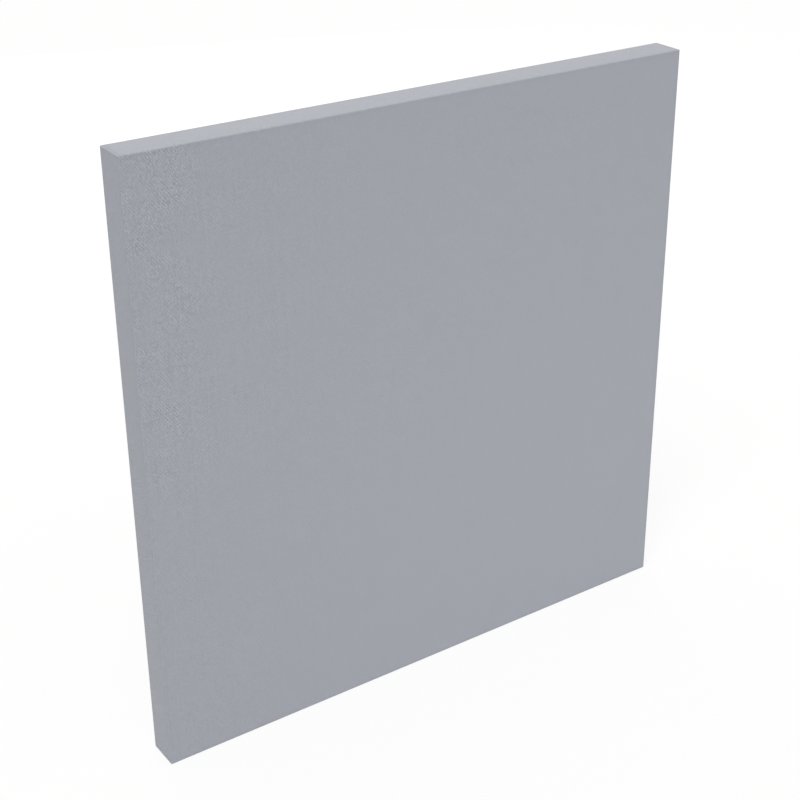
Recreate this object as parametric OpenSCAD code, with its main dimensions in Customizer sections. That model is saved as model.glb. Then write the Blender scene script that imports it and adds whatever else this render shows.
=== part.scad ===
// Square sound-absorbing wall panel: a timber frame holds a mineral-wool slab, one cloth is stretched
// over the front and the four edges, turned onto the back and stapled, and two keyhole plates hang it.
// The origin is the middle of the back, on the wall. +Y points into the wall, +Z up, +X to the right
// of someone who faces the panel.

/* [Panel] */
// Width of the covered panel
panel_w = 600; // [400:10:1200]
// Height of the covered panel
panel_h = 600; // [400:10:1200]
// Depth from the front of the cloth to the wall
panel_d = 34; // [30:1:60]

/* [Cloth] */
// Thickness of the cloth
cloth_t = 1; // [0.6:0.1:1.2]
// Width of cloth turned onto the back, from the panel's outline
turn_w = 28; // [22:1:36]
// Gap where two turned edges meet at a mitre
mitre_gap = 0.6; // [0.3:0.1:1.2]
// Width of the crease beside each corner, where the spare cloth is tucked under
crease_w = 0.5; // [0.3:0.1:0.8]
// Depth of that crease
crease_d = 0.4; // [0.2:0.1:0.5]
// Distance of that crease from the panel's outline
crease_in = 2.4; // [2:0.1:4]

/* [Frame] */
// Width of the rails and stiles, seen from the back
rail_w = 30; // [28:1:60]
// Radius of the frame's eased outer edges
ease_r = 0.6; // [0.4:0.1:1.5]
// Diameter of the corner dowels
dowel_d = 6; // [5:0.5:8]
// Length of the corner dowels
dowel_l = 30; // [20:1:40]
// Distance between the two dowels of a corner, along the panel's depth
dowel_pitch = 15; // [12:1:18]
// Chamfer at the ends of the dowels
dowel_chamfer = 0.8; // [0.4:0.1:1.2]

/* [Core and fleece] */
// Play between the slab and the frame, on each side
core_play = 0.3; // [0.1:0.1:1]
// Thickness of the rear fleece
fleece_t = 0.5; // [0.3:0.1:0.7]

/* [Staples] */
// Length of a staple's crown
crown_l = 10; // [8:0.5:12]
// Length of a staple's legs, with the crown
leg_l = 6; // [5:0.5:6]
// Width of the staple wire, seen from the back
wire_w = 1; // [0.8:0.1:1.2]
// Thickness of the staple wire
wire_t = 0.7; // [0.5:0.1:0.9]
// Distance of the staples from the panel's outline
staple_in = 14; // [12:1:16]
// Most distance between two staples of a row
staple_pitch = 56; // [40:1:80]
// Distance from the panel's outline to the first staple of a row
staple_end = 48; // [44:1:60]

/* [Hangers] */
// Distance between the two keyholes
hanger_span = 400; // [200:10:440]
// Distance from the panel's top down to the entry of a keyhole
hanger_drop = 20; // [19:0.5:22]
// Width of a hanger plate
plate_w = 46; // [42:1:60]
// Height of a hanger plate
plate_h = 20; // [18:0.5:22]
// Thickness of a hanger plate
plate_t = 2; // [2:0.1:3]
// Radius of the hanger plate's corners
plate_r = 3; // [1:0.5:5]
// Diameter of the keyhole's entry
entry_d = 9; // [8:0.5:10]
// Width of the keyhole's slot
slot_w = 4.5; // [4:0.1:5]
// Travel of a wall screw, from the entry to the end of the slot
slot_l = 7; // [6:0.5:7.5]
// Depth of the pocket behind the plate, for the head of a wall screw
pocket_d = 7; // [5:0.5:10]
// Width of that pocket
pocket_w = 12; // [11:0.5:14]
// Shank diameter of the hanger screws
screw_d = 3; // [2.5:0.1:3.5]
// Head diameter of the hanger screws
screw_head_d = 6; // [5.5:0.1:6.5]
// Length of the hanger screws
screw_l = 16; // [12:1:20]
// Distance between the two screws of a plate
screw_pitch = 34; // [32:1:36]

/* [Hidden] */
$fn = 48;

past = 1; // cutters reach this far beyond what they cut
dowel_fit = 0.05; // between a dowel and its bore, on the radius
dowel_end_gap = 0.5; // between a dowel's end and the bottom of its bore
wire_fit = 0.1; // between a staple and its slots, on each side
leg_end_gap = 0.3; // between a staple's point and the bottom of its slot
plate_fit = 0.2; // between a hanger plate and its seat, on each side
cloth_fit = 0.5; // between a hanger plate and the cut cloth round it
screw_fit = 0.1; // between a hanger screw and its holes, on the radius

frame_w = panel_w - 2 * cloth_t;
frame_h = panel_h - 2 * cloth_t;
back_y = -cloth_t - fleece_t; // the frame's back, under the fleece and the turned cloth
front_y = cloth_t - panel_d; // the frame's front, behind the cloth
frame_d = back_y - front_y;
opening_w = frame_w - 2 * rail_w;
opening_h = frame_h - 2 * rail_w;

head_d = (screw_head_d - screw_d) / 2; // depth of a 90 degree countersunk head
recess_w = screw_head_d * 0.12;
recess_l = screw_head_d * 0.62;
recess_d = head_d * 0.7;
point_l = screw_d * 1.2;

entry_z = panel_h / 2 - hanger_drop;
slot_z = entry_z + slot_l;
plate_z = (entry_z - entry_d / 2 + slot_z + slot_w / 2) / 2; // middle of the plate, round its keyhole
hanger_x = [-hanger_span / 2, hanger_span / 2];
corner_x = (frame_w - rail_w) / 2; // middle of a stile's width
corner_z = (frame_h - rail_w) / 2; // middle of a rail's height
joint_z = opening_h / 2; // where a stile ends against a rail
mid_y = (front_y + back_y) / 2;

// Places along a row of staples, evenly spaced and centred
function row(length) =
    let (run = length - 2 * staple_end, gaps = ceil(run / staple_pitch))
    [for (i = [0 : gaps]) -run / 2 + run * i / gaps];

// A staple of the top row is left out where a hanger plate takes its place
function clear_of_plates(x) =
    min([for (h = hanger_x) abs(x - h)]) > (plate_w + crown_l) / 2 + cloth_fit;

// Each staple's place [x, z] on the back, and the turn of its crown from level. A mitre's own staple
// stands at the middle of the corner, where a rail and a stile meet.
side_x = panel_w / 2 - staple_in;
side_z = panel_h / 2 - staple_in;
staple_places = concat(
    [for (x = row(panel_w)) if (clear_of_plates(x)) [x, side_z, 0]],
    [for (x = row(panel_w)) [x, -side_z, 0]],
    [for (x = [-side_x, side_x], z = row(panel_h)) [x, z, 90]],
    [for (sx = [-1, 1], sz = [-1, 1]) [sx * corner_x, sz * corner_z, -sx * sz * 45]]);

// A rectangle with round corners, about the origin
module rounded(w, h, r) {
    square([w - 2 * r, h], center = true);
    square([w, h - 2 * r], center = true);
    for (x = [-1, 1], y = [-1, 1])
        translate([x * (w / 2 - r), y * (h / 2 - r)]) circle(r);
}

// A slab with all its edges rounded, from y0 in front to y1 behind
module eased_slab(w, h, y0, y1, r) {
    d = y1 - y0;
    translate([0, (y0 + y1) / 2, 0]) intersection() {
        linear_extrude(h + past, center = true) rounded(w, d, r);
        rotate([90, 0, 0]) linear_extrude(d + past, center = true) rounded(w, h, r);
        rotate([90, 0, 90]) linear_extrude(w + past, center = true) rounded(d, h, r);
    }
}

// A box from one corner to the other
module block(low, high) {
    translate(low) cube(high - low);
}

// A straight hole or bar along Y, from y0 in front to y1 behind
module along_y(x, z, r, y0, y1) {
    translate([x, y1, z]) rotate([90, 0, 0]) cylinder(h = y1 - y0, r = r);
}

// What stands on the back at a staple's place, turned with its crown
module at_staple(place) {
    translate([place[0], 0, place[1]]) rotate([0, -place[2], 0]) children();
}

// One staple, its crown level and flush with the back
module staple() {
    inside = crown_l / 2 - wire_t;
    difference() {
        block([-crown_l / 2, -leg_l, -wire_w / 2], [crown_l / 2, 0, wire_w / 2]);
        block([-inside, -leg_l - past, -wire_w], [inside, -wire_t, wire_w]);
    }
}

// The dent of its crown and the slots of its legs
module staple_slots() {
    half_l = crown_l / 2 + wire_fit;
    half_w = wire_w / 2 + wire_fit;
    inside = crown_l / 2 - wire_t - wire_fit;
    for (place = staple_places) at_staple(place) {
        block([-half_l, -wire_t, -half_w], [half_l, past, half_w]);
        for (side = [-1, 1])
            translate([side * (half_l + inside) / 2, -leg_l - leg_end_gap, -half_w])
                translate([-(half_l - inside) / 2, 0, 0])
                    cube([half_l - inside, leg_l, 2 * half_w]);
    }
}

// The outline of a hanger plate, grown by a margin, from y0 to y1
module plate_blank(x, margin, y0, y1) {
    translate([x, y1, plate_z]) rotate([90, 0, 0])
        linear_extrude(y1 - y0) rounded(plate_w + 2 * margin, plate_h + 2 * margin, plate_r + margin);
}

// Both screws' places on a plate
module at_screws(x) {
    for (side = [-1, 1])
        translate([x + side * screw_pitch / 2, 0, plate_z]) children();
}

// The body of a countersunk screw, grown by a margin, without its point
module screw_body(margin, length) {
    rotate([90, 0, 0]) {
        cylinder(h = head_d, r1 = screw_head_d / 2 + margin, r2 = screw_d / 2 + margin);
        cylinder(h = length, r = screw_d / 2 + margin);
    }
}

module fabric_cover() {
    window_w = panel_w - 2 * turn_w;
    window_h = panel_h - 2 * turn_w;
    color([0.62, 0.63, 0.66]) difference() {
        eased_slab(panel_w, panel_h, -panel_d, 0, ease_r + cloth_t);
        eased_slab(frame_w, frame_h, front_y, -cloth_t, ease_r);
        block([-window_w / 2, -cloth_t - past, -window_h / 2], [window_w / 2, past, window_h / 2]);
        mitres();
        creases();
        plate_notches();
        staple_slots();
    }
}

// The cuts at 45 degrees where the turned cloth meets, from the window out to the corner's fold
module mitres() {
    reach = (turn_w - crease_in) * sqrt(2) + past;
    for (sx = [-1, 1], sz = [-1, 1])
        translate([sx * (panel_w / 2 - crease_in), -cloth_t - past, sz * (panel_h / 2 - crease_in)])
            rotate([0, sx * sz > 0 ? -45 : 45, 0])
                block([sx > 0 ? -reach : 0, 0, -mitre_gap / 2],
                    [sx > 0 ? 0 : reach, cloth_t + 2 * past, mitre_gap / 2]);
}

// The folded edge of the tucked cloth, across the top and bottom edges beside each corner
module creases() {
    for (sx = [-1, 1], sz = [-1, 1])
        translate([sx * (panel_w / 2 - crease_in), 0, sz * panel_h / 2])
            block([-crease_w / 2, -panel_d - past, -crease_d], [crease_w / 2, past, crease_d]);
}

// The turned cloth is cut away round each hanger plate, from its cut edge up
module plate_notches() {
    low = panel_h / 2 - turn_w - past;
    half_w = plate_w / 2 + cloth_fit;
    for (x = hanger_x)
        block([x - half_w, -cloth_t - past, low], [x + half_w, past, plate_z + plate_h / 2 + cloth_fit]);
}

module rear_fleece() {
    color([0.2, 0.2, 0.21]) difference() {
        block([-frame_w / 2 + ease_r, back_y, -frame_h / 2 + ease_r],
            [frame_w / 2 - ease_r, back_y + fleece_t, frame_h / 2 - ease_r]);
        for (x = hanger_x) plate_blank(x, plate_fit, back_y - past, past);
        staple_slots();
    }
}

module absorber_core() {
    half_w = opening_w / 2 - core_play;
    half_h = opening_h / 2 - core_play;
    color([0.62, 0.58, 0.38])
        block([-half_w, front_y, -half_h], [half_w, back_y, half_h]);
}

// The frame's whole outline with its eased edges, which each timber is cut from
module frame_blank() {
    eased_slab(frame_w, frame_h, front_y, back_y, ease_r);
}

// Places of the dowels of one corner, on the joint between a rail and a stile
module at_dowels(sx, sz) {
    for (side = [-1, 1])
        translate([sx * corner_x, mid_y + side * dowel_pitch / 2, sz * joint_z]) children();
}

module dowel_bores() {
    for (sx = [-1, 1], sz = [-1, 1]) at_dowels(sx, sz)
        cylinder(h = dowel_l + 2 * dowel_end_gap, r = dowel_d / 2 + dowel_fit, center = true);
}

// A rail runs the whole width, above or below the opening
module rail(side) {
    color("burlywood") difference() {
        intersection() {
            frame_blank();
            translate([0, mid_y, side * corner_z])
                cube([frame_w + past, frame_d + past, rail_w], center = true);
        }
        dowel_bores();
        staple_slots();
        children();
    }
}

// A stile stands between the two rails
module stile(side) {
    color("burlywood") difference() {
        intersection() {
            frame_blank();
            translate([side * corner_x, mid_y, 0])
                cube([rail_w, frame_d + past, opening_h], center = true);
        }
        dowel_bores();
        staple_slots();
    }
}

// The seat of a hanger plate, the pocket for the wall screw's head and the holes of its two screws
module hanger_seat(x) {
    seat_y = -plate_t;
    plate_blank(x, plate_fit, seat_y, past);
    for (z = [entry_z, slot_z]) along_y(x, z, pocket_w / 2, seat_y - pocket_d, past);
    block([x - pocket_w / 2, seat_y - pocket_d, entry_z], [x + pocket_w / 2, past, slot_z]);
    at_screws(x) screw_body(screw_fit, screw_l + leg_end_gap);
}

module top_rail() {
    rail(1) for (x = hanger_x) hanger_seat(x);
}

module bottom_rail() {
    rail(-1);
}

module left_stile() {
    stile(-1);
}

module right_stile() {
    stile(1);
}

module dowel() {
    straight = dowel_l - 2 * dowel_chamfer;
    cylinder(h = straight, r = dowel_d / 2, center = true);
    for (end = [0, 180]) rotate([end, 0, 0]) translate([0, 0, straight / 2])
        cylinder(h = dowel_chamfer, r1 = dowel_d / 2, r2 = dowel_d / 2 - dowel_chamfer);
}

module corner_dowels() {
    color("tan") for (sx = [-1, 1], sz = [-1, 1]) at_dowels(sx, sz) dowel();
}

module hanger_plate(x) {
    color("silver") difference() {
        plate_blank(x, 0, -plate_t, 0);
        along_y(x, entry_z, entry_d / 2, -plate_t - past, past);
        along_y(x, slot_z, slot_w / 2, -plate_t - past, past);
        block([x - slot_w / 2, -plate_t - past, entry_z], [x + slot_w / 2, past, slot_z]);
        at_screws(x) screw_body(screw_fit, plate_t + past);
    }
}

module left_hanger_plate() {
    hanger_plate(hanger_x[0]);
}

module right_hanger_plate() {
    hanger_plate(hanger_x[1]);
}

// A countersunk wood screw with a cross recess, its head flush with the back
module hanger_screw() {
    difference() {
        union() {
            screw_body(0, screw_l - point_l);
            rotate([90, 0, 0]) translate([0, 0, screw_l - point_l])
                cylinder(h = point_l, r1 = screw_d / 2, r2 = 0);
        }
        for (turn = [0, 90]) rotate([0, turn, 0])
            block([-recess_l / 2, -recess_d, -recess_w / 2], [recess_l / 2, past, recess_w / 2]);
    }
}

module hanger_screws() {
    color("gainsboro") for (x = hanger_x) at_screws(x) hanger_screw();
}

module cover_staples() {
    color("lightgrey") for (place = staple_places) at_staple(place) staple();
}

fabric_cover();
rear_fleece();
absorber_core();
top_rail();
bottom_rail();
left_stile();
right_stile();
corner_dowels();
left_hanger_plate();
right_hanger_plate();
hanger_screws();
cover_staples();
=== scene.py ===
import math
import random

import bmesh
import bpy
from mathutils import Matrix, Vector, noise


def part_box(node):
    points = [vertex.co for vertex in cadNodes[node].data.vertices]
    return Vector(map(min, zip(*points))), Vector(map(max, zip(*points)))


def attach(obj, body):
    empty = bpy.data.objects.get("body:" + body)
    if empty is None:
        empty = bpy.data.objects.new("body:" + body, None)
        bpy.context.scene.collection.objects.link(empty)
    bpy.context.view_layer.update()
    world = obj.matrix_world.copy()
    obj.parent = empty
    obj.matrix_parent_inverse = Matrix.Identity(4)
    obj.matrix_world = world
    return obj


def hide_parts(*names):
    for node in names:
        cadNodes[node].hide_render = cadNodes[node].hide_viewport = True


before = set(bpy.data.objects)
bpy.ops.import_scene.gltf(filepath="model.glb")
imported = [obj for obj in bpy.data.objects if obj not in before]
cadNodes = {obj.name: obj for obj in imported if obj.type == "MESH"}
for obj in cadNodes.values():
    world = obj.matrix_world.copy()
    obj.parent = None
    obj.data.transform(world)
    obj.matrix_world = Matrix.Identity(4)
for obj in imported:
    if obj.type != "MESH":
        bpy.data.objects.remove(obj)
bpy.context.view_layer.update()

print("frame loaded with", len(cadNodes), "solids")


def measuresOf(node):  # a solid's middle and size in metres, to the micrometre
    low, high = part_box(node)
    return [round((a + b) / 2, 6) for a, b in zip(low, high)], [round(b - a, 6) for a, b in zip(low, high)]


coverSize = measuresOf("fabric_cover")[1]
plateMiddle, plateSize = measuresOf("right_hanger_plate")
fleeceMiddle, fleeceSize = measuresOf("rear_fleece")

# The whole panel in metres. The back is at y = 0 and the front at -depth.
panel = {
    "width": coverSize[0],
    "depth": coverSize[1],
    "height": coverSize[2],
    "edgeRadius": 0.0009,  # of the cloth pulled tight over the frame
    "turned": 0.028,  # cloth turned onto the back
    "hangerX": plateMiddle[0],
    "plateZ": plateMiddle[2],
    "plateWidth": plateSize[0],
    "plateHeight": plateSize[2],
}

# Where the staples go in, measured from the panel's outline
stapleLayout = {
    "inset": 0.014,
    "firstAt": 0.048,
    "mostApart": 0.056,
    "cornerInset": 0.016,
    "plateClear": 0.0055,  # none is nearer to a hanger plate than this
}


def smoothStep(low, high, value):
    t = min(1.0, max(0.0, (value - low) / (high - low)))
    return t * t * (3 - 2 * t)


def stapleRow(length):
    run = length - 2 * stapleLayout["firstAt"]
    gaps = math.ceil(run / stapleLayout["mostApart"] - 1e-6)
    return [-run / 2 + run * i / gaps for i in range(gaps + 1)]


def stapleSpots():  # (x, z, turn of the crown) of each staple on the back
    halfW, halfH = panel["width"] / 2, panel["height"] / 2
    sideX, sideZ = halfW - stapleLayout["inset"], halfH - stapleLayout["inset"]
    cornerX, cornerZ = halfW - stapleLayout["cornerInset"], halfH - stapleLayout["cornerInset"]
    clear = panel["plateWidth"] / 2 + stapleLayout["plateClear"]
    across, upright = stapleRow(panel["width"]), stapleRow(panel["height"])
    spots = [(x, sideZ, 0.0) for x in across if abs(abs(x) - panel["hangerX"]) > clear]
    spots += [(x, -sideZ, 0.0) for x in across]
    spots += [(x, z, math.pi / 2) for x in (-sideX, sideX) for z in upright]
    spots += [(sx * cornerX, sz * cornerZ, -sx * sz * math.pi / 4) for sx in (-1, 1) for sz in (-1, 1)]
    return spots


# node helpers

def spaced(name):  # warpPitch becomes Warp Pitch, as the sockets are called
    return "".join(" " + c if c.isupper() else c for c in name).title().replace("Ior", "IOR")


def placeNode(tree, node):
    count = len(tree.nodes)
    node.location = (190 * (count % 12), -210 * (count // 12))
    return node


def fill(tree, socket, value):  # links another node's output, or sets a plain value
    if isinstance(value, bpy.types.NodeSocket):
        tree.links.new(value, socket)
    elif value is not None:
        socket.default_value = value


def addNode(tree, kind, inputs=(), **settings):
    node = placeNode(tree, tree.nodes.new("ShaderNode" + kind))
    for name, value in settings.items():
        setattr(node, name, value)
    for key, value in inputs.items() if isinstance(inputs, dict) else enumerate(inputs):
        fill(tree, node.inputs[key], value)
    return node


def calc(tree, operation, *values):
    return addNode(tree, "Math", values, operation=operation).outputs[0]


def spread(tree, value, fromLow, fromHigh, toLow, toHigh, kind="LINEAR"):
    inputs = {"Value": value, "From Min": fromLow, "From Max": fromHigh, "To Min": toLow, "To Max": toHigh}
    return addNode(tree, "MapRange", inputs, interpolation_type=kind).outputs["Result"]


def blendColour(tree, factor, first, second, kind="MIX"):
    node = addNode(tree, "Mix", {0: factor}, data_type="RGBA", blend_type=kind)
    for slot, value in ((6, first), (7, second)):
        fill(tree, node.inputs[slot], (*value, 1.0) if isinstance(value, tuple) else value)
    return node.outputs[2]


def scaleColour(tree, colour, factor):
    return addNode(tree, "VectorMath", {0: colour, "Scale": factor}, operation="SCALE").outputs[0]


def cloudy(tree, where, scale, detail=2.0, roughness=0.5, distortion=0.0):
    inputs = {"Vector": where, "Scale": scale, "Detail": detail}
    return addNode(tree, "TexNoise", {**inputs, "Roughness": roughness, "Distortion": distortion}).outputs


def mapped(tree, where, scale=(1.0, 1.0, 1.0), place=(0.0, 0.0, 0.0), turn=(0.0, 0.0, 0.0)):
    inputs = {"Vector": where, "Location": place, "Rotation": turn, "Scale": scale}
    return addNode(tree, "Mapping", inputs).outputs[0]


def newGroup(name, inputs, outputs):
    tree = bpy.data.node_groups.new(name, "ShaderNodeTree")
    for label, kind, value in inputs:
        socket = tree.interface.new_socket(name=label, in_out="INPUT", socket_type="NodeSocket" + kind)
        if value is not None:
            socket.default_value = value
    for label in outputs:
        tree.interface.new_socket(name=label, in_out="OUTPUT", socket_type="NodeSocketFloat")
    given, made = tree.nodes.new("NodeGroupInput"), tree.nodes.new("NodeGroupOutput")
    return tree, given.outputs, made.inputs


def putOut(tree, made, **values):
    for name, value in values.items():
        tree.links.new(value, made[spaced(name)])
    return tree


def placeGroup(tree, group, **values):
    node = placeNode(tree, tree.nodes.new("ShaderNodeGroup"))
    node.node_tree = group
    for name, value in values.items():
        fill(tree, node.inputs[spaced(name)], value)
    return node.outputs


def newMaterial(name, **plain):
    material = bpy.data.materials.new(name)
    material.use_nodes = True
    tree = material.node_tree
    shader = tree.nodes["Principled BSDF"].inputs
    for label, value in plain.items():
        shader[spaced(label)].default_value = value
    return material, tree, shader


def bumpFrom(tree, height, distance, strength=1.0, under=None):
    inputs = {"Height": height, "Distance": distance, "Strength": strength, "Normal": under}
    return addNode(tree, "Bump", inputs).outputs["Normal"]


def objectPlace(tree):
    return addNode(tree, "TexCoord").outputs["Object"]


def addPiece(name, mesh):
    piece = bpy.data.objects.new(name, mesh)
    bpy.context.scene.collection.objects.link(piece)
    return piece


# shared effects, each built once

def makeTwillWeave():  # over two, under one: the floats step sideways and read as slanting ribs
    repeat = 3  # threads before the pattern starts again
    tree, given, made = newGroup("twillWeave", [
        ("Sheet", "Vector", None),
        ("Warp Pitch", "Float", 0.0008),
        ("Weft Pitch", "Float", 0.001),
        ("Wander", "Float", 0.3),
        ("Stray", "Float", 1.0),
    ], ["Height", "Tone", "Strands", "Warp Over"])
    sheet = given["Sheet"]
    place = addNode(tree, "SeparateXYZ", [sheet]).outputs
    drift = addNode(tree, "SeparateColor", [cloudy(tree, sheet, 60.0, 3.0)["Color"]]).outputs
    uneven = calc(tree, "SUBTRACT", cloudy(tree, sheet, 240.0, 1.0)["Fac"], 0.5)
    stray = calc(tree, "MULTIPLY", uneven, given["Stray"])
    sides = []
    for axis, pitch in ((0, "Warp Pitch"), (1, "Weft Pitch")):
        strayed = calc(tree, "MULTIPLY", calc(tree, "SUBTRACT", drift[axis], 0.5), given["Wander"])
        across = calc(tree, "ADD", calc(tree, "DIVIDE", place[axis], given[pitch]), strayed)
        off = calc(tree, "MULTIPLY_ADD", calc(tree, "FRACT", across), 2.0, -1.0)
        dome = calc(tree, "MAXIMUM", calc(tree, "SUBTRACT", 1.0, calc(tree, "MULTIPLY", off, off)), 0.0)
        sides.append((across, calc(tree, "FLOOR", across), calc(tree, "POWER", dome, 0.8)))
    (u, i, warpRound), (v, j, weftRound) = sides

    def floatOf(thread, along, middle):  # how high a thread is there, and which of its floats that is
        step = calc(tree, "ADD", calc(tree, "SUBTRACT", calc(tree, "ADD", thread, along), middle), stray)
        rise = calc(tree, "COSINE", calc(tree, "MULTIPLY", step, 2 * math.pi / repeat))
        return rise, calc(tree, "ROUND", calc(tree, "DIVIDE", step, repeat))

    warpRise, warpFloat = floatOf(i, v, 1.0)
    weftRise, weftFloat = floatOf(j, u, 1.0 + repeat / 2)
    warpHeight = calc(tree, "MULTIPLY_ADD", warpRise, 0.5, calc(tree, "MULTIPLY", warpRound, 0.6))
    weftHeight = calc(tree, "MULTIPLY_ADD", weftRise, 0.5, calc(tree, "MULTIPLY", weftRound, 0.6))
    highest = calc(tree, "SMOOTH_MAX", warpHeight, weftHeight, 0.15)
    above = calc(tree, "SUBTRACT", warpHeight, weftHeight)
    warpOver = spread(tree, above, -0.1, 0.1, 0.0, 1.0, "SMOOTHSTEP")
    isWarp = calc(tree, "GREATER_THAN", warpOver, 0.5)

    def ofTop(weft, warp):
        return addNode(tree, "Mix", [isWarp, None, weft, warp]).outputs[0]

    thread, ownFloat = ofTop(calc(tree, "ADD", j, 0.37), i), ofTop(weftFloat, warpFloat)
    cell = addNode(tree, "CombineXYZ", [thread, ownFloat, isWarp]).outputs[0]
    floatTone = addNode(tree, "TexWhiteNoise", {"Vector": cell}).outputs["Value"]
    threadSeed = {"W": calc(tree, "MULTIPLY_ADD", isWarp, 613.0, thread)}
    threadTone = addNode(tree, "TexWhiteNoise", threadSeed, noise_dimensions="1D").outputs["Value"]
    fibre = addNode(tree, "CombineXYZ", [
        calc(tree, "MULTIPLY", ofTop(v, u), 12.0),
        calc(tree, "MULTIPLY", ofTop(u, v), 1.05),
        calc(tree, "MULTIPLY", thread, 2.3),
    ]).outputs[0]
    return putOut(
        tree, made,
        height=spread(tree, highest, -0.2, 1.1, 0.0, 1.0),
        tone=calc(tree, "MULTIPLY_ADD", floatTone, 0.7, calc(tree, "MULTIPLY", threadTone, 0.3)),
        strands=cloudy(tree, fibre, 1.0, 2.0, 0.6)["Fac"],
        warpOver=warpOver,
    )


def makeFibreMat():  # long fine fibres crossing at all angles, as in bonded tissue or wool
    tree, given, made = newGroup("fibreMat", [
        ("Place", "Vector", None),
        ("Scale", "Float", 600.0),
        ("Thin", "Float", 0.02),
    ], ["Fibres", "Cloud"])
    total = None
    for turn in (0.2, 0.75, 1.4, 2.0, 2.65):
        rotate = {"Vector": given["Place"], "Angle": turn}
        turned = addNode(tree, "VectorRotate", rotate, rotation_type="Y_AXIS").outputs[0]
        drawn = mapped(tree, turned, (1.0, 1.0, 0.05), (turn, 2.0 * turn, 0.3 * turn))
        field = cloudy(tree, drawn, given["Scale"], 1.5, distortion=0.25)["Fac"]
        near = calc(tree, "ABSOLUTE", calc(tree, "SUBTRACT", field, 0.5))
        line = spread(tree, near, 0.0, given["Thin"], 1.0, 0.0, "SMOOTHSTEP")
        total = line if total is None else calc(tree, "MAXIMUM", total, line)
    cloud = cloudy(tree, given["Place"], calc(tree, "MULTIPLY", given["Scale"], 0.05), 4.0)["Fac"]
    return putOut(tree, made, fibres=total, cloud=cloud)


def makeWoodGrain():  # the grain runs along X of the vector it gets
    tree, given, made = newGroup("woodGrain", [
        ("Place", "Vector", None),
        ("Rings", "Float", 260.0),
        ("Fibre", "Float", 1500.0),
    ], ["Grain", "Pores", "Height"])
    long = mapped(tree, given["Place"], (0.06, 1.0, 1.0))
    bend = scaleColour(tree, cloudy(tree, long, 38.0)["Color"], 0.012)
    ringInputs = {
        "Vector": addNode(tree, "VectorMath", [long, bend], operation="ADD").outputs[0],
        "Scale": calc(tree, "DIVIDE", given["Rings"], 2 * math.pi),
        "Distortion": 1.4,
        "Detail": 1.5,
        "Detail Scale": 1.2,
    }
    rings = addNode(tree, "TexWave", ringInputs, wave_type="RINGS", rings_direction="X").outputs["Fac"]
    streak = cloudy(tree, mapped(tree, given["Place"], (0.03, 1.0, 1.0)), given["Fibre"])["Fac"]
    pores = spread(tree, streak, 0.30, 0.42, 1.0, 0.0)
    return putOut(
        tree, made,
        grain=calc(tree, "ADD", calc(tree, "MULTIPLY", rings, 0.65), calc(tree, "MULTIPLY", streak, 0.35)),
        pores=pores,
        height=calc(tree, "SUBTRACT", calc(tree, "MULTIPLY", rings, 0.4), pores),
    )


def makeZincCoat():  # brushed lines under a faintly clouded coat of zinc
    tree, given, made = newGroup("zincCoat", [
        ("Place", "Vector", None),
        ("Brushing", "Float", 3000.0),
        ("Clouds", "Float", 180.0),
    ], ["Tone", "Dull", "Height"])
    lines = cloudy(tree, mapped(tree, given["Place"], (0.04, 1.0, 1.0)), given["Brushing"])["Fac"]
    clouds = cloudy(tree, given["Place"], given["Clouds"], 4.0, 0.6)["Fac"]
    flakeInputs = {"Vector": given["Place"], "Scale": calc(tree, "MULTIPLY", given["Clouds"], 2.4)}
    flakeColour = addNode(tree, "TexVoronoi", flakeInputs).outputs["Color"]
    flakes = addNode(tree, "SeparateColor", [flakeColour]).outputs[0]
    dull = calc(tree, "ADD", clouds, calc(tree, "MULTIPLY", lines, 0.5))
    return putOut(
        tree, made,
        tone=calc(tree, "ADD", calc(tree, "MULTIPLY", clouds, 0.7), calc(tree, "MULTIPLY", flakes, 0.3)),
        dull=spread(tree, dull, 0.45, 1.05, 0.0, 1.0),
        height=lines,
    )


def makeEdgeWear():  # where an edge is, by how far a rounded normal leaves the true one
    tree, given, made = newGroup("edgeWear", [
        ("Place", "Vector", None),
        ("Breakup", "Float", 900.0),
        ("Amount", "Float", 1.0),
    ], ["Worn"])
    rounded = addNode(tree, "Bevel", {"Radius": 0.0005}, samples=4).outputs[0]
    true = addNode(tree, "NewGeometry").outputs["Normal"]
    same = addNode(tree, "VectorMath", [rounded, true], operation="DOT_PRODUCT").outputs["Value"]
    edge = spread(tree, same, 0.97, 0.75, 0.0, 1.0)
    patchy = spread(tree, cloudy(tree, given["Place"], given["Breakup"], 3.0)["Fac"], 0.35, 0.6, 0.0, 1.0)
    worn = calc(tree, "MULTIPLY", calc(tree, "MULTIPLY", edge, patchy), given["Amount"])
    return putOut(tree, made, worn=worn)


twillWeave, fibreMat, woodGrain = makeTwillWeave(), makeFibreMat(), makeWoodGrain()
zincCoat, edgeWear = makeZincCoat(), makeEdgeWear()
print("shared effects made")

# the cloth's finish

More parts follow.
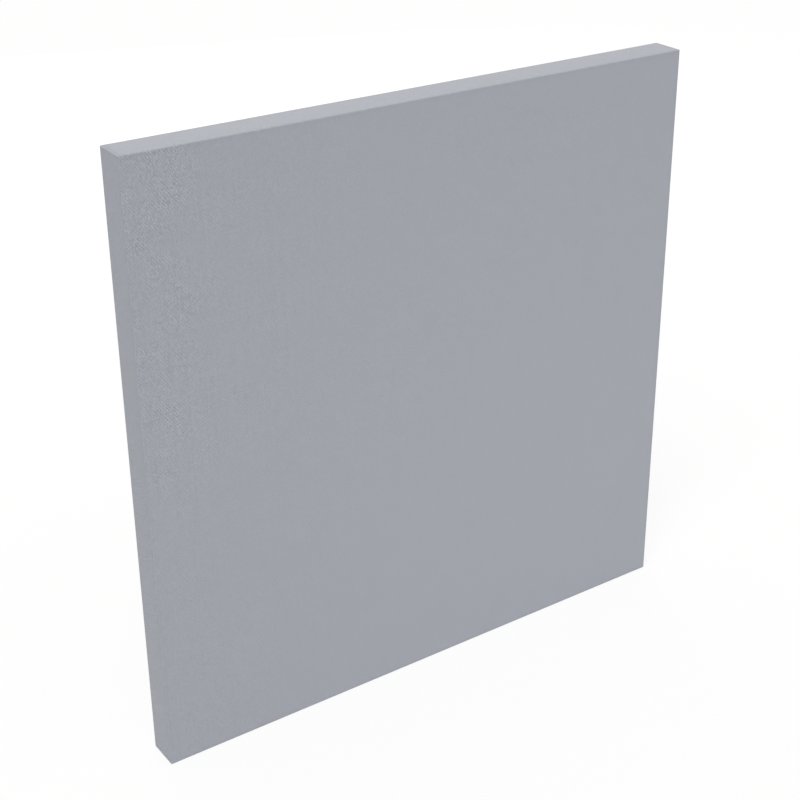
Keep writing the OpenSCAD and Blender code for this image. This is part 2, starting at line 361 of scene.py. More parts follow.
clothFinish = {
    # the warp is drawn lighter and the weft darker: partly the yarns' own tone, partly painted shading of
    # the two thread directions
    "warpColour": (0.3976, 0.4137, 0.4583),
    "weftColour": (0.3524, 0.3666, 0.4069),
    "plainColour": (0.3625, 0.3781, 0.4180),  # where the nap lies flat and hides the threads' tones; it holds their average, painted shade between them included
    "warmTint": (1.004, 1.0, 0.990),
    "coolTint": (0.998, 1.0, 1.006),
    "warpPitch": 0.000987,
    "weftPitch": 0.001253,
    "wander": 0.38,
    "stray": 1.65,  # how far the slanting ribs leave a straight line, in threads
    "floatTone": 0.34,  # how far single floats differ
    "strandTone": 0.14,
    "hollowShade": 0.80,  # painted shade: the colour deep between the threads, where their own shadow falls
    "napFlat": 0.08,  # how much of the threads' shades shows where the nap lies flat
    "relief": 0.00026,
    "strandRelief": 0.00007,
    "rubbed": 0.03,  # darker along the edges where hands have been
    "napPatches": 26.0,  # how fine the patches of standing nap are, and those of the warm and cool tints
    "tintPatches": 17.0,
    "napUneven": (0.35, 1.3),  # the nap's share where it stands least and most
    "roughness": (0.95, 0.8),  # deep between the threads and on top of them
    "shine": 0.25,
    "sheen": 0.12,
    "sheenRough": 0.45,
}


def around(tree, value, low, high, variation):  # a factor round 1
    return spread(tree, value, low, high, 1 - variation / 2, 1 + variation / 2)


def makeCloth():
    look = clothFinish
    material, tree, shader = newMaterial(
        "wovenCloth",
        sheenWeight=look["sheen"], sheenRoughness=look["sheenRough"], specularIorLevel=look["shine"])
    sheet = addNode(tree, "UVMap", uv_map="sheet").outputs[0]
    weave = placeGroup(
        tree, twillWeave, sheet=sheet,
        **{name: look[name] for name in ("warpPitch", "weftPitch", "wander", "stray")})
    # warp floats lighter, weft floats darker: partly the yarns' own tone, partly painted shading that makes
    # the slanting ribs show
    colour = blendColour(tree, weave["Warp Over"], look["weftColour"], look["warpColour"])
    tone = around(tree, weave["Tone"], 0.0, 1.0, look["floatTone"])
    strand = around(tree, weave["Strands"], 0.25, 0.75, look["strandTone"])
    # painted shade: the colour darkens deep between the threads, by their height
    paintedHollowShade = spread(tree, weave["Height"], 0.25, 0.75, look["hollowShade"], 1.0, "SMOOTHSTEP")
    threads = scaleColour(tree, colour, calc(tree, "MULTIPLY", calc(tree, "MULTIPLY", tone, strand), paintedHollowShade))

    raised = addNode(tree, "Attribute", attribute_name="raisedNap").outputs["Fac"]
    patches = cloudy(tree, sheet, look["napPatches"], 3.0, 0.6)["Fac"]
    uneven = spread(tree, patches, 0.36, 0.62, *look["napUneven"])
    standing = calc(tree, "MULTIPLY", raised, uneven)
    shown = calc(tree, "MULTIPLY_ADD", standing, 1 - look["napFlat"], look["napFlat"])
    cloth = blendColour(tree, calc(tree, "MINIMUM", shown, 1.0), look["plainColour"], threads)

    warm = spread(tree, cloudy(tree, sheet, look["tintPatches"], 3.0)["Fac"], 0.35, 0.65, 0.0, 1.0)
    rub = addNode(tree, "Attribute", attribute_name="rubbed").outputs["Fac"]
    worn = calc(tree, "MULTIPLY_ADD", rub, -look["rubbed"], 1.0)
    tint = scaleColour(tree, blendColour(tree, warm, look["coolTint"], look["warmTint"]), worn)
    fill(tree, shader["Base Color"], blendColour(tree, 1.0, cloth, tint, "MULTIPLY"))
    fill(tree, shader["Roughness"], spread(tree, weave["Height"], 0.0, 1.0, *look["roughness"]))
    low = bumpFrom(tree, weave["Height"], look["relief"])
    fill(tree, shader["Normal"], bumpFrom(tree, weave["Strands"], look["strandRelief"], 0.8, low))
    return material


# the cover: one cloth over the front and the edges, turned onto the back

clothCover = {
    # lines of the mesh near an outline, in millimetres from it: close at the rounding, tuck and staples
    "nearLines": (0, 0.3, 0.6, 0.9, 1.6, 2.1, 2.4, 2.7, 4.0, 5.5, 9.0, 10.8, 11.8, 12.4, 13.0, 13.4, 13.8,
                  14.2, 14.6, 15.0, 15.6, 16.2, 16.8, 17.5, 18.3, 19.2, 20.4, 22.0, 25.0, 28.0),
    "innerLine": 0.265,  # one more line of the mesh on each side, inside the turned cloth
    "stapleLines": (-6.4, -5.3, -2.7, 0, 2.7, 5.3, 6.4),  # across each staple of a row
    "depthLines": (0, 0.3, 0.6, 0.9, 2.0, 5.0, 10.0, 17.0, 24.0, 29.0, 32.0, 33.1, 33.4, 33.7, 34.0),
    "tuckAt": 0.0024,  # the folded edge beside each corner, across the top and bottom edges
    "tuckDeep": 0.0004,
    "tuckSwell": 0.00012,  # the layers under the fold
    "mitreGap": 0.0006,
    "notchPlay": 0.0005,  # between a hanger plate and the cloth cut away round it
    "stapleDent": 0.00072,
    "dentAlong": (0.0050, 0.0066),  # a dent fades between these distances from the staple's middle
    "dentAcross": (0.00055, 0.0020),
    "dentReach": 0.008,  # nothing is pressed in farther away than this
    "slack": 0.00006,  # how far the stretched front is from flat
    "pucker": 0.00012,
    "backSink": 0.00004,
    "cutWave": 0.00025,  # the knife's wander along the cut edge
    # waves to a metre in the four above
    "slackWaves": 11,
    "puckerWaves": 45,
    "sinkWaves": 120,
    "cutWaves": 60,
    # the distances from the outline over which each sets in or fades; the swelling's are from the tuck
    "slackOver": (0.002, 0.03),
    "puckerOver": (0.017, 0.028),
    "sinkOver": (0.002, 0.006),
    "swellOver": (0.0005, 0.014),
    "rubbedOver": (0.001, 0.006),
    "cutPattern": 0.00025,  # how much of the weave goes down a cut edge, which shows little but thread ends
    "cutDepth": 0.00096,
    "clearOfNotch": 0.002,  # no line of the mesh between two staples is nearer to a notch
    "sharpFrom": 0.9,  # a bend of the cloth over this many radians stays a sharp edge
    # as in the photo, the nap stands up beside the left edge, less to the middle, and fades lower down
    "napBeside": {"from": -0.285, "to": -0.215, "share": 0.58},
    "napAcross": {"from": -0.27, "to": 0.03, "share": 0.42},
    "napUp": {"from": -0.10, "to": 0.10, "lowShare": 0.25},
    "napOnEdges": 0.25,
}
notchHalf = panel["plateWidth"] / 2 + clothCover["notchPlay"]
notchTop = panel["plateZ"] + panel["plateHeight"] / 2 + clothCover["notchPlay"]


def nearLines():  # from the outline inwards, with the top of the notches
    lines = {n / 1000 for n in clothCover["nearLines"]} | {round(panel["height"] / 2 - notchTop, 7)}
    return sorted(lines)


def coverLines():  # lines across the whole width, the same in both directions
    lines = {round(s * (panel["width"] / 2 - n), 7) for n in nearLines() for s in (-1, 1)}
    row = stapleRow(panel["width"])
    notches = [s * panel["hangerX"] + t * notchHalf for s in (-1, 1) for t in (-1, 1)]
    lines |= {round(c + n / 1000, 7) for c in row for n in clothCover["stapleLines"]}
    lines |= {round(n, 7) for n in notches}
    reach = clothCover["stapleLines"][-1] / 1000
    for a, b in zip(row, row[1:]):
        for part in (0.25, 0.5, 0.75):
            between = a + reach + (b - a - 2 * reach) * part
            if min(abs(between - n) for n in notches) > clothCover["clearOfNotch"]:
                lines.add(round(between, 7))
    return sorted(lines | {-clothCover["innerLine"], clothCover["innerLine"]})


def roundedPlace(p):  # from the sharp box to the one with rounded edges, with its normal
    r = panel["edgeRadius"]
    middle = Vector((0, -panel["depth"] / 2, 0))
    half = (panel["width"] / 2 - r, panel["depth"] / 2 - r, panel["height"] / 2 - r)
    inside = Vector([max(-h, min(h, c)) for c, h in zip(p - middle, half)])
    normal = (p - middle - inside).normalized()
    return middle + inside + normal * r, normal


def unevenAt(x, z, waves, layer):  # from -1 to 1, another pattern in each layer
    return noise.noise(Vector((x * waves, layer, z * waves)))


def stapleDent(x, z, spots):
    look = clothCover
    deepest = 0.0
    for cx, cz, turn in spots:
        dx, dz = x - cx, z - cz
        if max(abs(dx), abs(dz)) > look["dentReach"]:
            continue
        along = abs(dx * math.cos(turn) + dz * math.sin(turn))
        across = abs(dz * math.cos(turn) - dx * math.sin(turn))
        inCrown = (1 - smoothStep(*look["dentAlong"], along)) * (1 - smoothStep(*look["dentAcross"], across))
        deepest = max(deepest, inCrown)
    return deepest * look["stapleDent"]


def coverRelief(p, normal, spots):  # how far the cloth stands off its plain shape
    look = clothCover
    sideIn, topIn = panel["width"] / 2 - abs(p.x), panel["height"] / 2 - abs(p.z)
    inset = min(sideIn, topIn)
    rise = 0.0
    if normal.y < -0.99:  # front: stretched tight, faintly uneven
        calm = smoothStep(*look["slackOver"], inset)
        rise += look["slack"] * calm * unevenAt(p.x, p.z, look["slackWaves"], 3.0)
    if abs(normal.z) > 0.2 or topIn < 1e-6:  # top and bottom: the fold of the tucked cloth
        away = sideIn - look["tuckAt"]
        if abs(away) < 0.0002:
            rise -= look["tuckDeep"]
        elif away > 0:
            rise += look["tuckSwell"] * (1 - smoothStep(*look["swellOver"], away)) * abs(normal.z)
    if normal.y > 0.99:  # back: pressed in by the staples, a little loose at the cut edge
        rise -= stapleDent(p.x, p.z, spots)
        loose = unevenAt(p.x, p.z, look["puckerWaves"], 7.0) - 0.6
        rise += look["pucker"] * smoothStep(*look["puckerOver"], inset) * loose
        sink = 1 + unevenAt(p.x, p.z, look["sinkWaves"], 1.0)
        rise -= look["backSink"] * sink * smoothStep(*look["sinkOver"], inset)
    return rise


def napAt(p):
    beside, across, up = (clothCover[k] for k in ("napBeside", "napAcross", "napUp"))
    stands = sum(k["share"] * (1 - smoothStep(k["from"], k["to"], p.x)) for k in (beside, across))
    return stands * (up["lowShare"] + (1 - up["lowShare"]) * smoothStep(up["from"], up["to"], p.z))


def flatCover():  # the sharp box: its points, and faces with corners of (point, place on the flat sheet)
    look = clothCover
    halfW, halfH, depth = panel["width"] / 2, panel["height"] / 2, panel["depth"]
    lines, near, depths = coverLines(), nearLines(), [d / 1000 for d in look["depthLines"]]
    points, pointOf, faces = [], {}, []

    def pointAt(x, y, z):
        key = (round(x * 1e6), round(y * 1e6), round(z * 1e6))
        if key not in pointOf:
            pointOf[key] = len(points)
            points.append(Vector((x, y, z)))
        return pointOf[key]

    def addFace(corners):
        made = {}
        for place, flat in corners:
            made.setdefault(pointAt(*place), flat)
        if len(made) > 2:
            faces.append(list(made.items()))

    def addGrid(firsts, seconds, place):
        for a0, a1 in zip(firsts, firsts[1:]):
            for b0, b1 in zip(seconds, seconds[1:]):
                addFace([place(a, b) for a, b in ((a0, b0), (a1, b0), (a1, b1), (a0, b1))])

    def addTurnedStrip(s, upright):  # cut at 45 degrees at its ends, and open along the mitre past the tuck
        def turnedPlace(along, inset):
            if abs(halfW - abs(along) - inset) < 1e-6 and inset > look["tuckAt"] + 1e-6:
                along -= math.copysign(look["mitreGap"] / math.sqrt(2), along)
            if upright:
                return (s * (halfW - inset), 0.0, along), (s * (halfW + depth + inset), along)
            return (along, 0.0, s * (halfH - inset)), (along, s * (halfH + depth + inset))

        for n0, n1 in zip(near, near[1:]):
            for a0, a1 in zip(lines, lines[1:]):
                outer = max(abs(a0), abs(a1))
                if outer > halfW - n0 + 1e-7:
                    continue
                corners = [(a0, n0), (a1, n0), (a1, n1), (a0, n1)]
                if outer > halfW - n1 + 1e-7:  # on the mitre
                    corners = [(a, n) for a, n in corners if abs(a) < halfW - n + 1e-7]
                besidePlate = abs(abs((a0 + a1) / 2) - panel["hangerX"]) < notchHalf
                if not upright and s > 0 and besidePlate and halfH - (n0 + n1) / 2 < notchTop:
                    continue
                addFace([turnedPlace(a, n) for a, n in corners])

    addGrid(lines, lines, lambda x, z: ((x, -depth, z), (x, z)))
    for s in (-1, 1):
        addGrid(lines, depths, lambda x, d: ((x, d - depth, s * halfH), (x, s * (halfH + d))))
        addGrid(depths, lines, lambda d, z: ((s * halfW, d - depth, z), (s * (halfW + d), z)))
    for s in (-1, 1):
        for upright in (False, True):
            addTurnedStrip(s, upright)
    return points, faces


def shapeCover(points):  # the sharp box becomes the cloth's real surface
    look, spots = clothCover, stapleSpots()
    halfW, halfH, depth = panel["width"] / 2, panel["height"] / 2, panel["depth"]
    shaped, rubbed, raisedNap = [], [], []
    for p in points:
        place, normal = roundedPlace(p)
        place = place + normal * coverRelief(p, normal, spots)
        sideIn, topIn = halfW - abs(p.x), halfH - abs(p.z)
        if normal.y > 0.99 and abs(min(sideIn, topIn) - panel["turned"]) < 1e-6:  # cut edge
            along = p.x if abs(p.x) < abs(p.z) else p.z
            side = math.copysign(2.0, p.x + p.z)
            wave = look["cutWave"] * noise.noise(Vector((along * look["cutWaves"], 5.0, side)))
            if abs(p.z) > abs(p.x):
                place.z -= math.copysign(wave, p.z)
            else:
                place.x -= math.copysign(wave, p.x)
        shaped.append(place)
        toEdge = sorted((sideIn, topIn, depth / 2 - abs(p.y + depth / 2)))[1]
        rubbed.append(1 - smoothStep(*look["rubbedOver"], toEdge))
        raisedNap.append(napAt(p) if normal.y < -0.6 else look["napOnEdges"])
    return shaped, {"rubbed": rubbed, "raisedNap": raisedNap}


def addCutEdges(bm):  # the open edges get the cloth's thickness
    uv = bm.loops.layers.uv["sheet"]
    rim = [e for e in bm.edges if e.is_boundary]
    geom = bmesh.ops.extrude_edge_only(bm, edges=rim)["geom"]
    lower = {g for g in geom if isinstance(g, bmesh.types.BMVert)}
    lips = [g for g in geom if isinstance(g, bmesh.types.BMFace)]
    lips.sort(key=lambda f: tuple(f.calc_center_median()))  # extruding gives them in another order each run
    bm.faces.index_update()
    for index, lip in enumerate(lips, len(bm.faces) - len(lips)):
        lip.index = index
    bm.faces.sort()
    for lip in lips:
        cut = next(e for e in lip.edges if not lower & set(e.verts))
        cloth = next(f for f in cut.link_faces if f is not lip)
        flat = {loop.vert: loop[uv].uv.copy() for loop in cloth.loops}
        first, second = (flat[v] for v in cut.verts)
        outward = Vector((first.y - second.y, second.x - first.x)).normalized() * clothCover["cutPattern"]
        if outward.dot(sum(flat.values(), Vector((0, 0))) / len(flat) - first) > 0:
            outward.negate()
        for loop in lip.loops:
            if loop.vert in lower:
                ends = [e.other_vert(loop.vert) for e in loop.vert.link_edges]
                upper = next(v for v in ends if v in cut.verts)
                loop[uv].uv = flat[upper] + outward
            else:
                loop[uv].uv = flat[loop.vert]
    for v in lower:
        v.co.y = -clothCover["cutDepth"]


def addBakeMap(bm):  # the unfolded sheet again, fitted to a square from 0 to 1
    uv, bakeMap = bm.loops.layers.uv["sheet"], bm.loops.layers.uv.new("OFBake")
    margin = 0.002
    span = panel["width"] + 2 * (panel["depth"] + panel["turned"] + margin)
    for f in bm.faces:
        for loop in f.loops:
            loop[bakeMap].uv = loop[uv].uv / span + Vector((0.5, 0.5))


def makeCover():
    points, faces = flatCover()
    shaped, attributes = shapeCover(points)
    mesh = bpy.data.meshes.new("clothCover")
    mesh.from_pydata(shaped, [], [[index for index, _ in f] for f in faces])
    sheet = mesh.uv_layers.new(name="sheet")
    for loop, flat in zip(sheet.data, [flat for f in faces for _, flat in f]):
        loop.uv = flat
    for name, values in attributes.items():
        mesh.attributes.new(name, "FLOAT", "POINT").data.foreach_set("value", values)

    bm = bmesh.new()
    bm.from_mesh(mesh)
    bmesh.ops.recalc_face_normals(bm, faces=bm.faces)
    addCutEdges(bm)
    addBakeMap(bm)
    bmesh.ops.recalc_face_normals(bm, faces=bm.faces)
    front = max(bm.faces, key=lambda f: f.calc_area())
    if front.normal.y > 0:
        bmesh.ops.reverse_faces(bm, faces=bm.faces)
    for f in bm.faces:
        f.smooth = True
    for e in bm.edges:
        if len(e.link_faces) == 2 and e.calc_face_angle(0) > clothCover["sharpFrom"]:
            e.smooth = False
    bm.to_mesh(mesh)
    bm.free()
    mesh.materials.append(makeCloth())
    return addPiece("clothCover", mesh)


cover = makeCover()
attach(cover, "root")
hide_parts("fabric_cover")
print("cloth cover made,", len(cover.data.polygons), "faces")

# the tissue over the back of the slab

backFleece = {
    "side": fleeceSize[0],
    "thickness": 0.00048,
    "outerFace": round(fleeceMiddle[1] + fleeceSize[1] / 2, 6),  # under the turned cloth
    "cells": 74,
    "unevenness": 0.00022,
    "broadWaves": 16,  # to a metre
    "smallWaves": 41,
    "heldWithin": 0.03,  # of the turned cloth, which holds it down
    "platePlay": 0.0002,  # round a hanger plate
    "clearOfPlate": 0.0015,  # no other line of the mesh is nearer to that hole
    "baseColour": (0.016, 0.016, 0.018),
    "fibreColour": (0.085, 0.085, 0.09),
    "fibreScale": 520.0,
    "fibreThin": 0.016,
    "fineScale": 2.3,  # the finer fibres among them, in times of that scale
    "fineThin": 0.025,
    "fineShare": 0.55,
    "roughness": (0.9, 0.55),  # between the fibres and on them
    "relief": 0.00005,
    "shine": 0.3,
    "sheen": 0.06,
}


def makeFleeceMaterial():
    look = backFleece
    material, tree, shader = newMaterial(
        "bondedTissue", sheenWeight=look["sheen"], specularIorLevel=look["shine"])
    where, fineScale = objectPlace(tree), look["fibreScale"] * look["fineScale"]
    mat = placeGroup(tree, fibreMat, place=where, scale=look["fibreScale"], thin=look["fibreThin"])
    fine = placeGroup(tree, fibreMat, place=where, scale=fineScale, thin=look["fineThin"])
    both = calc(tree, "MAXIMUM", mat["Fibres"], calc(tree, "MULTIPLY", fine["Fibres"], look["fineShare"]))
    light = calc(tree, "MULTIPLY", both, spread(tree, mat["Cloud"], 0.3, 0.7, 0.35, 1.0))
    fill(tree, shader["Base Color"], blendColour(tree, light, look["baseColour"], look["fibreColour"]))
    fill(tree, shader["Roughness"], spread(tree, light, 0.0, 1.0, *look["roughness"]))
    fill(tree, shader["Normal"], bumpFrom(tree, both, look["relief"], 0.8))
    return material


def makeFleece():
    look = backFleece
    half = look["side"] / 2
    holeX, holeZ = panel["plateWidth"] / 2 + look["platePlay"], panel["plateHeight"] / 2 + look["platePlay"]
    grid = {round(-half + look["side"] * i / look["cells"], 6) for i in range(look["cells"] + 1)}
    xEdges = [s * panel["hangerX"] + t * holeX for s in (-1, 1) for t in (-1, 1)]
    zEdges = [panel["plateZ"] + t * holeZ for t in (-1, 1)]
    clear = look["clearOfPlate"]
    xs = sorted({x for x in grid if min(abs(x - e) for e in xEdges) > clear} | set(xEdges))
    zs = sorted({z for z in grid if min(abs(z - e) for e in zEdges) > clear} | set(zEdges))
    bm = bmesh.new()
    verts = {}

    def at(i, k):
        if (i, k) not in verts:
            x, z = xs[i], zs[k]
            inside = panel["width"] / 2 - panel["turned"] - max(abs(x), abs(z))
            free = smoothStep(0.0, look["heldWithin"], inside)
            broad = unevenAt(x, z, look["broadWaves"], 9.0)
            small = unevenAt(x, z, look["smallWaves"], 2.0)
            rise = free * look["unevenness"] * (1.0 + broad + 0.5 * small)
            verts[i, k] = bm.verts.new((x, look["outerFace"] + rise, z))
        return verts[i, k]

    for i in range(len(xs) - 1):
        for k in range(len(zs) - 1):
            x, z = (xs[i] + xs[i + 1]) / 2, (zs[k] + zs[k + 1]) / 2
            if abs(abs(x) - panel["hangerX"]) < holeX and abs(z - panel["plateZ"]) < holeZ:
                continue
            bm.faces.new([at(i, k), at(i, k + 1), at(i + 1, k + 1), at(i + 1, k)]).smooth = True
    bmesh.ops.recalc_face_normals(bm, faces=bm.faces)
    if sum(f.normal.y for f in bm.faces) < 0:
        bmesh.ops.reverse_faces(bm, faces=bm.faces)
    mesh = bpy.data.meshes.new("backFleece")
    bm.to_mesh(mesh)
    bm.free()
    mesh.materials.append(makeFleeceMaterial())
    piece = addPiece("backFleece", mesh)
    thick = piece.modifiers.new("thickness", "SOLIDIFY")
    thick.thickness, thick.offset = look["thickness"], -1.0
    return piece


fleece = makeFleece()
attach(fleece, "root")
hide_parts("rear_fleece")
print("fleece made,", len(fleece.data.polygons), "faces")

# zinc plated pieces: the staples are made here, and the plates and screws keep their solids

metalFinish = {
    "stapleWire": {"colour": (0.50, 0.51, 0.52), "rough": 0.32, "lines": 5200, "clouds": 400, "worn": 0.6},
    "plateZinc": {"colour": (0.38, 0.39, 0.405), "rough": 0.45, "lines": 2600, "clouds": 150, "worn": 0.8},
    "screwZinc": {"colour": (0.45, 0.43, 0.385), "rough": 0.34, "lines": 5200, "clouds": 500, "worn": 0.7},
}
zincLook = {
    "shades": (0.86, 1.1, 1.3),  # its dark and bright patches and its worn edges, in times of the colour
    "smoother": 0.06,  # than "rough" where it is brightest, and rougher where it is dull
    "rougher": 0.14,
    "wornSmoother": 0.08,
    "wornBreakup": 900.0,
    "easedEdge": 0.00025,
    "relief": 0.000008,
}
wireStaple = {
    "crown": 0.010,
    "leg": 0.0060,
    "wide": 0.0010,
    "thick": 0.0007,
    "bend": 0.0008,  # inside the corner of the crown, at the wire's middle
    "corner": 0.00018,
    "point": 0.0008,  # length of the sharpened end
    "pointSize": 0.25,
    "skew": 0.008,
    "seed": 7,
}


def makeZincMaterial(name):
    look, zinc = metalFinish[name], zincLook
    material, tree, shader = newMaterial(name, metallic=1.0)
    where = objectPlace(tree)
    coat = placeGroup(tree, zincCoat, place=where, brushing=look["lines"], clouds=look["clouds"])
    wear = placeGroup(tree, edgeWear, place=where, breakup=zinc["wornBreakup"], amount=look["worn"])["Worn"]
    dim, bright, bare = [tuple(min(1.0, c * f) for c in look["colour"]) for f in zinc["shades"]]
    colour = blendColour(tree, wear, blendColour(tree, coat["Tone"], dim, bright), bare)
    low, high = look["rough"] - zinc["smoother"], look["rough"] + zinc["rougher"]
    rough = spread(tree, coat["Dull"], 0.0, 1.0, low, high)
    wornSmoother = calc(tree, "MULTIPLY", wear, zinc["wornSmoother"])
    soft = addNode(tree, "Bevel", {"Radius": zinc["easedEdge"]}, samples=4).outputs[0]
    fill(tree, shader["Base Color"], colour)
    fill(tree, shader["Roughness"], calc(tree, "SUBTRACT", rough, wornSmoother))
    fill(tree, shader["Normal"], bumpFrom(tree, coat["Height"], zinc["relief"], 0.5, soft))
    return material


def wireSection():  # round the wire: (outward, sideways), with eased corners
    look = wireStaple
    corner, out, side = look["corner"], look["thick"] / 2 - look["corner"], look["wide"] / 2 - look["corner"]
    section = []
    for cx, cy, start in ((out, side, 0), (-out, side, 90), (-out, -side, 180), (out, -side, 270)):
        for step in (0, 45, 90):
            a = math.radians(start + step)
            section.append((cx + corner * math.cos(a), cy + corner * math.sin(a)))
    return section


def wirePath():  # from one point over the crown to the other: (place, outward way, size)
    look = wireStaple
    top, bend = -look["thick"] / 2, look["bend"]
    edge = look["crown"] / 2 + top
    path = [((-edge, -look["leg"]), (-1, 0), look["pointSize"])]
    path.append(((-edge, -look["leg"] + look["point"]), (-1, 0), 1.0))
    for step in range(5):
        a = math.pi - math.pi / 2 * step / 4
        turn = (math.cos(a), math.sin(a))
        path.append(((-edge + bend + bend * turn[0], top - bend + bend * turn[1]), turn, 1.0))
    path.append(((0.0, top), (0, 1), 1.0))
    return path + [((-x, y), (-nx, ny), size) for (x, y), (nx, ny), size in reversed(path[:-1])]


def makeStaples():
    rng = random.Random(wireStaple["seed"])
    section, path = wireSection(), wirePath()
    bm = bmesh.new()
    for cx, cz, turn in stapleSpots():
        turn += rng.uniform(-wireStaple["skew"], wireStaple["skew"])
        c, s = math.cos(turn), math.sin(turn)
        rings = []
        for (a, y), (na, ny), size in path:
            ring = []
            for out, side in section:
                along, side, depth = a + na * out * size, side * size, min(y + ny * out * size, 0.0)
                ring.append(bm.verts.new((cx + along * c - side * s, depth, cz + along * s + side * c)))
            rings.append(ring)
        for r0, r1 in zip(rings, rings[1:]):
            for k in range(len(section)):
                n = (k + 1) % len(section)
                bm.faces.new([r0[k], r0[n], r1[n], r1[k]]).smooth = True
        bm.faces.new(rings[0])
        bm.faces.new(list(reversed(rings[-1])))
    bmesh.ops.recalc_face_normals(bm, faces=bm.faces)
    mesh = bpy.data.meshes.new("wireStaples")
    bm.to_mesh(mesh)
    bm.free()
    mesh.materials.append(makeZincMaterial("stapleWire"))
    return addPiece("wireStaples", mesh)


staples = makeStaples()
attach(staples, "root")
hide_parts("cover_staples")
print("staples made,", len(staples.data.polygons), "faces")

# solids that keep their own shape and get a finish

pine = {"light": (0.62, 0.44, 0.25), "dark": (0.44, 0.27, 0.13)}
beech = {"light": (0.60, 0.42, 0.26), "dark": (0.46, 0.29, 0.16)}
timberFinish = {
    "railTimber": {**pine, "turn": (0.0, 0.0, 0.0), "rings": 420.0},
    "stileTimber": {**pine, "turn": (0.0, math.pi / 2, 0.0), "rings": 380.0},
    "dowelBeech": {**beech, "turn": (0.0, math.pi / 2, 0.3), "rings": 900.0},
}
timberLook = {
    "heart": (0.11, 0.021, 0.017),  # where the rings have their middle
    "fibre": 1600.0,
    "pores": 0.35,
    "poreShade": 0.6,  # in times of the dark colour
    "worn": 0.5,
    "wornBreakup": 300.0,
    "wornShade": 1.15,  # in times of the light colour
    "roughness": (0.62, 0.78),
    "relief": 0.00006,
    "shine": 0.3,
}
woolFinish = {
    "base": (0.30, 0.26, 0.10),
    "fibre": (0.52, 0.47, 0.25),
    "layers": (1.0, 4.0, 1.0),
    "scale": 420.0,
    "thin": 0.05,
    "roughness": (0.9, 1.0),
    "relief": 0.0004,
    "shine": 0.1,
}


def makeTimber(name):
    look = {**timberLook, **timberFinish[name]}
    material, tree, shader = newMaterial(name, specularIorLevel=look["shine"])
    where = objectPlace(tree)
    laid = mapped(tree, where, place=look["heart"], turn=look["turn"])
    grain = placeGroup(tree, woodGrain, place=laid, rings=look["rings"], fibre=look["fibre"])
    wear = placeGroup(tree, edgeWear, place=where, breakup=look["wornBreakup"], amount=look["worn"])["Worn"]
    pore = tuple(c * look["poreShade"] for c in look["dark"])
    bare = tuple(c * look["wornShade"] for c in look["light"])
    colour = blendColour(tree, grain["Grain"], look["light"], look["dark"])
    colour = blendColour(tree, calc(tree, "MULTIPLY", grain["Pores"], look["pores"]), colour, pore)
    fill(tree, shader["Base Color"], blendColour(tree, wear, colour, bare))
    fill(tree, shader["Roughness"], spread(tree, grain["Grain"], 0.0, 1.0, *look["roughness"]))
    fill(tree, shader["Normal"], bumpFrom(tree, grain["Height"], look["relief"], 0.6))
    return material


def makeWool():
    look = woolFinish
    material, tree, shader = newMaterial("stoneWool", specularIorLevel=look["shine"])
    layered = mapped(tree, objectPlace(tree), look["layers"])
    wool = placeGroup(tree, fibreMat, place=layered, scale=look["scale"], thin=look["thin"])
    fill(tree, shader["Base Color"], blendColour(tree, wool["Fibres"], look["base"], look["fibre"]))
    fill(tree, shader["Roughness"], spread(tree, wool["Cloud"], 0.3, 0.7, *look["roughness"]))
    height = calc(tree, "ADD", wool["Fibres"], wool["Cloud"])
    fill(tree, shader["Normal"], bumpFrom(tree, height, look["relief"], 0.8))
    return material


def dress(material, *nodes):
    for node in nodes:
        cadNodes[node].data.materials.clear()
        cadNodes[node].data.materials.append(material)


dress(makeTimber("railTimber"), "top_rail", "bottom_rail")
dress(makeTimber("stileTimber"), "left_stile", "right_stile")
dress(makeTimber("dowelBeech"), "corner_dowels")
dress(makeZincMaterial("plateZinc"), "left_hanger_plate", "right_hanger_plate")
dress(makeZincMaterial("screwZinc"), "hanger_screws")
dress(makeWool(), "absorber_core")
print("timber, wool and metal dressed")

# floor, light and camera

studio = {
    "floorSide": 60.0,
    "floorColour": (0.485, 0.495, 0.51),  # as it lights the panel
    "floorSeen": (0.78, 0.78, 0.78),  # as the camera sees its shading
    "floorShows": 0.16,  # how much of that shading shows; the rest is plain white
    "floorBelow": 0.0002,  # under the panel's lower edge
    "skyLow": 0.395,
    "skyHigh": 0.79,
    "skyTint": (1.0, 0.992, 0.955),  # overhead
    "sun": {"from": (-0.42, -0.41, 0.81), "strength": 2.14, "angle": 0.6},
    "lowLamp": {"at": (0.12, -1.15, -0.23), "size": 0.12, "power": 1.6},
    "backLamp": {"at": (0.8, 2.4, 0.35), "size": 1.2, "power": 20.0},
}
cameraView = {
    "azimuth": -36.5940,
    "elevation": 26.0972,
    "roll": 0.6848,
    "at": (-0.79606, -1.16178, 0.68989),
    "frameSide": 800,  # the square picture's side in pixels, the unit of the next two
    "focal": 1596.5,
    "middle": (465.0, 388.0),
    "sensorWidth": 36.0,
}


def seenDirectly(tree):  # 1 where the camera or a shine shows the surroundings, 0 where they only give light
    path = addNode(tree, "LightPath").outputs
    reflected = calc(tree, "MAXIMUM", path["Is Glossy Ray"], path["Is Transmission Ray"])
    return calc(tree, "MAXIMUM", path["Is Camera Ray"], reflected)


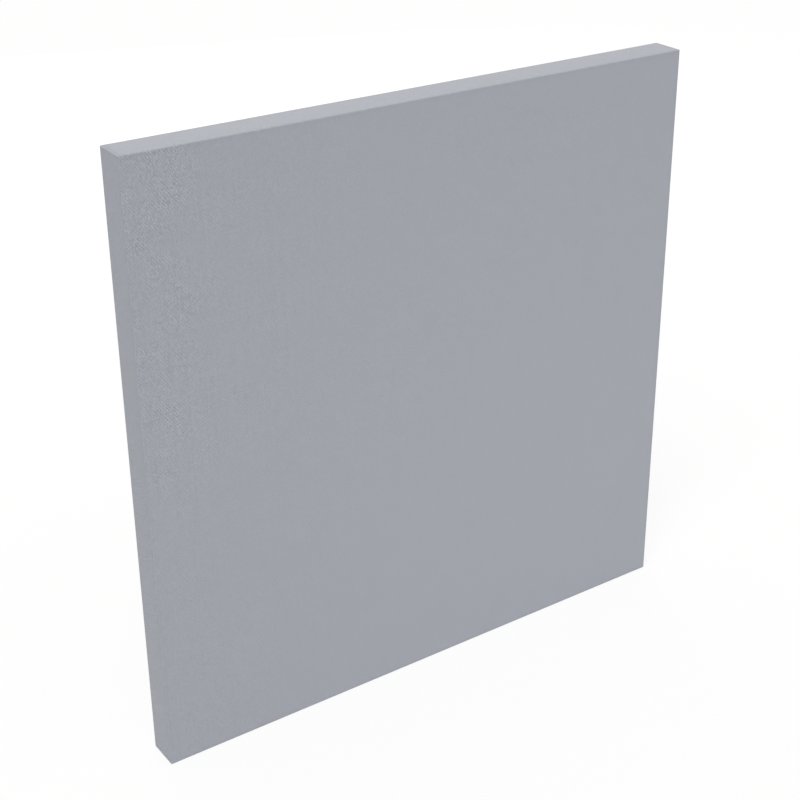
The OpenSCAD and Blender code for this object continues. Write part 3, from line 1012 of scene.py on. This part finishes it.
def makeFloor():
    half, low = studio["floorSide"] / 2, -panel["height"] / 2 - studio["floorBelow"]
    mesh = bpy.data.meshes.new("floor")
    corners = [(-half, -half, low), (half, -half, low), (half, half, low), (-half, half, low)]
    mesh.from_pydata(corners, [], [(0, 1, 2, 3)])
    material, tree, shader = newMaterial("paleFloor", roughness=0.9, specularIorLevel=0.0)
    seen = seenDirectly(tree)
    fill(tree, shader["Base Color"], blendColour(tree, seen, studio["floorColour"], studio["floorSeen"]))
    white = addNode(tree, "Emission", {"Color": (1, 1, 1, 1), "Strength": 1.0}).outputs[0]
    share = calc(tree, "MULTIPLY", seen, 1.0 - studio["floorShows"])
    mix = addNode(tree, "MixShader", [share, tree.nodes["Principled BSDF"].outputs[0], white]).outputs[0]
    tree.links.new(mix, tree.nodes["Material Output"].inputs["Surface"])
    mesh.materials.append(material)
    floor = addPiece("floor", mesh)


def aimLamp(name, kind, at):
    light = bpy.data.lights.new(name, kind)
    piece = addPiece(name, light)
    piece.location = at
    piece.rotation_mode = "QUATERNION"
    piece.rotation_quaternion = (-Vector(at)).to_track_quat("-Z", "Y")
    piece.visible_camera = False
    return light


def makeSky():
    world = bpy.data.worlds.new("studioWorld")
    bpy.context.scene.world = world
    world.use_nodes = True
    tree = world.node_tree
    seen = seenDirectly(tree)
    upward = addNode(tree, "SeparateXYZ", [addNode(tree, "TexCoord").outputs["Generated"]]).outputs[2]
    high = calc(tree, "MAXIMUM", upward, 0.0)
    sky = spread(tree, high, 0.0, 1.0, studio["skyLow"], studio["skyHigh"])
    tint = blendColour(tree, high, (1.0, 1.0, 1.0), studio["skyTint"])
    background = tree.nodes["Background"].inputs
    fill(tree, background["Color"], blendColour(tree, seen, tint, (1.0, 1.0, 1.0)))
    fill(tree, background["Strength"], addNode(tree, "Mix", [seen, None, sky, 1.0]).outputs[0])


def makeLamps():
    sun = aimLamp("sun", "SUN", studio["sun"]["from"])
    sun.energy, sun.angle = studio["sun"]["strength"], studio["sun"]["angle"]
    for name in ("lowLamp", "backLamp"):
        lamp = aimLamp(name, "AREA", studio[name]["at"])
        lamp.size, lamp.energy = studio[name]["size"], studio[name]["power"]


def makeCamera():
    look = cameraView
    azimuth, elevation, roll = (math.radians(look[k]) for k in ("azimuth", "elevation", "roll"))
    level = math.cos(elevation)
    back = Vector((math.sin(azimuth) * level, -math.cos(azimuth) * level, math.sin(elevation)))
    right = Vector((0, 0, 1)).cross(back).normalized()
    up = back.cross(right)
    turnedRight = right * math.cos(roll) + up * math.sin(roll)
    turnedUp = up * math.cos(roll) - right * math.sin(roll)
    side, half = look["frameSide"], look["frameSide"] / 2
    data = bpy.data.cameras.new("camera")
    data.sensor_width = look["sensorWidth"]
    data.lens = look["focal"] / side * look["sensorWidth"]
    data.shift_x = (half - look["middle"][0]) / side
    data.shift_y = (look["middle"][1] - half) / side
    data.dof.use_dof = False
    piece = addPiece("camera", data)
    rows = [[turnedRight[i], turnedUp[i], back[i], look["at"][i]] for i in range(3)]
    piece.matrix_world = Matrix(rows + [[0, 0, 0, 1]])
    bpy.context.scene.camera = piece


makeFloor()
makeSky()
makeLamps()
makeCamera()
bpy.context.scene.view_settings.view_transform = "Standard"
print("floor, light and camera set")
